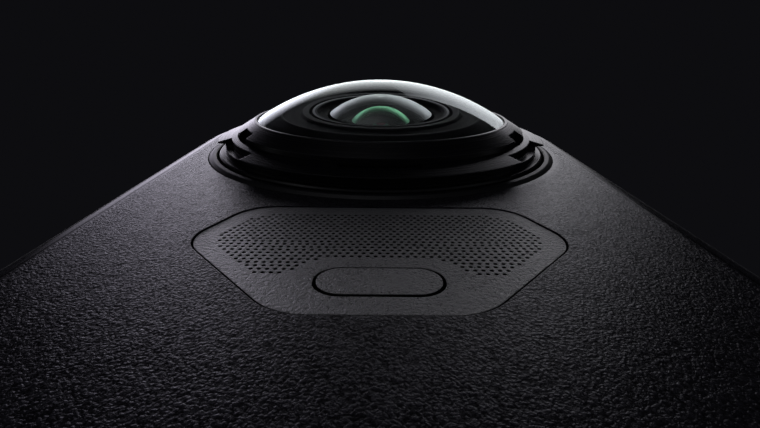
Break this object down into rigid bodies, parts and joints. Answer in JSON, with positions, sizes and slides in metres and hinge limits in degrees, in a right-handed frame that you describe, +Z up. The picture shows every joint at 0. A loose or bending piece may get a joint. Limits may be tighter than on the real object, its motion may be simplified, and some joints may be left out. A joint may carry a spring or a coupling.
{
  "type": "360 degree camera",
  "caption": "Slim upright 360 degree camera with back-to-back domed fisheye lenses, a leather-grain front, a perforated microphone panel, a rear touchscreen and a slide-out battery.",
  "frame": {"origin": "middle of the base, on the surface it stands on, at the mouth of the tripod thread", "axes": "+Z up along the body's long side, -Y out of the grained front face, +Y out of the screen side, +X towards the battery"},
  "size_m": [0.0466, 0.0382, 0.1245],
  "materials": {
    "frame_black": "satin black shell",
    "cover_grain": "black with a leather grain",
    "rear_black": "fine matt black",
    "panel_black": "fine blasted black",
    "ring_black": "black anodised, satin",
    "baffle_black": "optical black",
    "dome_glass": "coated glass",
    "element_glass": "coated glass",
    "screen_glass": "black printed glass",
    "key_black": "satin black",
    "rubber_black": "black rubber",
    "mesh_black": "woven acoustic mesh",
    "chassis_metal": "milled",
    "steel": "plain steel",
    "board_green": "solder mask",
    "flex_amber": "polyimide",
    "pack_grey": "satin dark grey",
    "latch_orange": "satin orange",
    "gold_contact": "gold plated",
    "sensor_glass": "sensor cover glass"
  },
  "bodies": {
    "camera_body": {"main_frame": "frame_black", "front_cover": "cover_grain", "rear_cover": "rear_black", "front_trim_ring": "ring_black", "rear_trim_ring": "ring_black", "heat_spreader": "chassis_metal", "tripod_insert": "steel", "mic_panel": "panel_black", "mic_mesh": "mesh_black", "mic_board": "board_green", "microphones": "steel", "front_key_switch": "steel", "front_mount_ring": "ring_black", "rear_mount_ring": "ring_black", "lens_seals": "rubber_black", "front_baffle": "baffle_black", "rear_baffle": "baffle_black", "front_barrel": "baffle_black", "rear_barrel": "baffle_black", "front_second_element": "element_glass", "rear_second_element": "element_glass", "front_third_element": "element_glass", "rear_third_element": "element_glass", "front_fourth_element": "element_glass", "rear_fourth_element": "element_glass", "front_lens_cell": "baffle_black", "rear_lens_cell": "baffle_black", "rear_groups": "element_glass", "image_sensors": "sensor_glass", "sensor_boards": "board_green", "barrel_screws": "steel", "lens_chassis": "chassis_metal", "chassis_screws": "steel", "sensor_flexes": "flex_amber", "touch_glass": "screen_glass", "display_panel": "sensor_glass", "rear_switches": "steel", "main_board": "board_green", "side_switch_board": "board_green", "port_pin": "steel", "port_connector": "steel", "speaker": "baffle_black", "battery_tray": "baffle_black", "battery_contacts": "gold_contact", "card_slot": "steel"},
    "front_lens_cover": {"front_lens_ring": "ring_black", "front_dome_glass": "dome_glass"},
    "rear_lens_cover": {"rear_lens_ring": "ring_black", "rear_dome_glass": "dome_glass"},
    "front_key": {"front_key": "key_black"},
    "shutter_button": {"shutter_button": "key_black"},
    "lens_button": {"lens_button": "key_black"},
    "power_button": {"power_button": "key_black"},
    "quick_button": {"quick_button": "key_black"},
    "connector_door": {"port_door": "frame_black", "port_plug": "rubber_black"},
    "battery": {"battery_pack": "pack_grey", "battery_cover": "frame_black", "battery_seal": "rubber_black"},
    "battery_latch": {"battery_latch": "latch_orange"}
  },
  "joints": [
    {"name": "front_lens_twist", "type": "hinge", "parent": "camera_body", "child": "front_lens_cover", "pos_m": [0, -0.0118, 0.1015], "axis": [0, -1, 0], "range_deg": [0, 30]},
    {"name": "rear_lens_twist", "type": "hinge", "parent": "camera_body", "child": "rear_lens_cover", "pos_m": [0, 0.0118, 0.1015], "axis": [0, 1, 0], "range_deg": [0, 30]},
    {"name": "front_key_press", "type": "slide", "parent": "camera_body", "child": "front_key", "axis": [0, 1, 0], "range_m": [0, 0.0004], "stiffness_N_per_m": 300},
    {"name": "shutter_press", "type": "slide", "parent": "camera_body", "child": "shutter_button", "axis": [0, -1, 0], "range_m": [0, 0.0004], "stiffness_N_per_m": 300},
    {"name": "lens_button_press", "type": "slide", "parent": "camera_body", "child": "lens_button", "axis": [0, -1, 0], "range_m": [0, 0.0004], "stiffness_N_per_m": 300},
    {"name": "power_press", "type": "slide", "parent": "camera_body", "child": "power_button", "axis": [1, 0, 0], "range_m": [0, 0.0004], "stiffness_N_per_m": 300},
    {"name": "quick_press", "type": "slide", "parent": "camera_body", "child": "quick_button", "axis": [1, 0, 0], "range_m": [0, 0.0004], "stiffness_N_per_m": 300},
    {"name": "connector_door_hinge", "type": "hinge", "parent": "camera_body", "child": "connector_door", "pos_m": [-0.0221, -0.00225, 0.038], "axis": [0, 0, 1], "range_deg": [0, 100]},
    {"name": "battery_slide", "type": "slide", "parent": "camera_body", "child": "battery", "axis": [1, 0, 0], "range_m": [0, 0.045]},
    {"name": "battery_latch_slide", "type": "slide", "parent": "battery", "child": "battery_latch", "axis": [0, 0, -1], "range_m": [0, 0.003], "stiffness_N_per_m": 150}
  ]
}
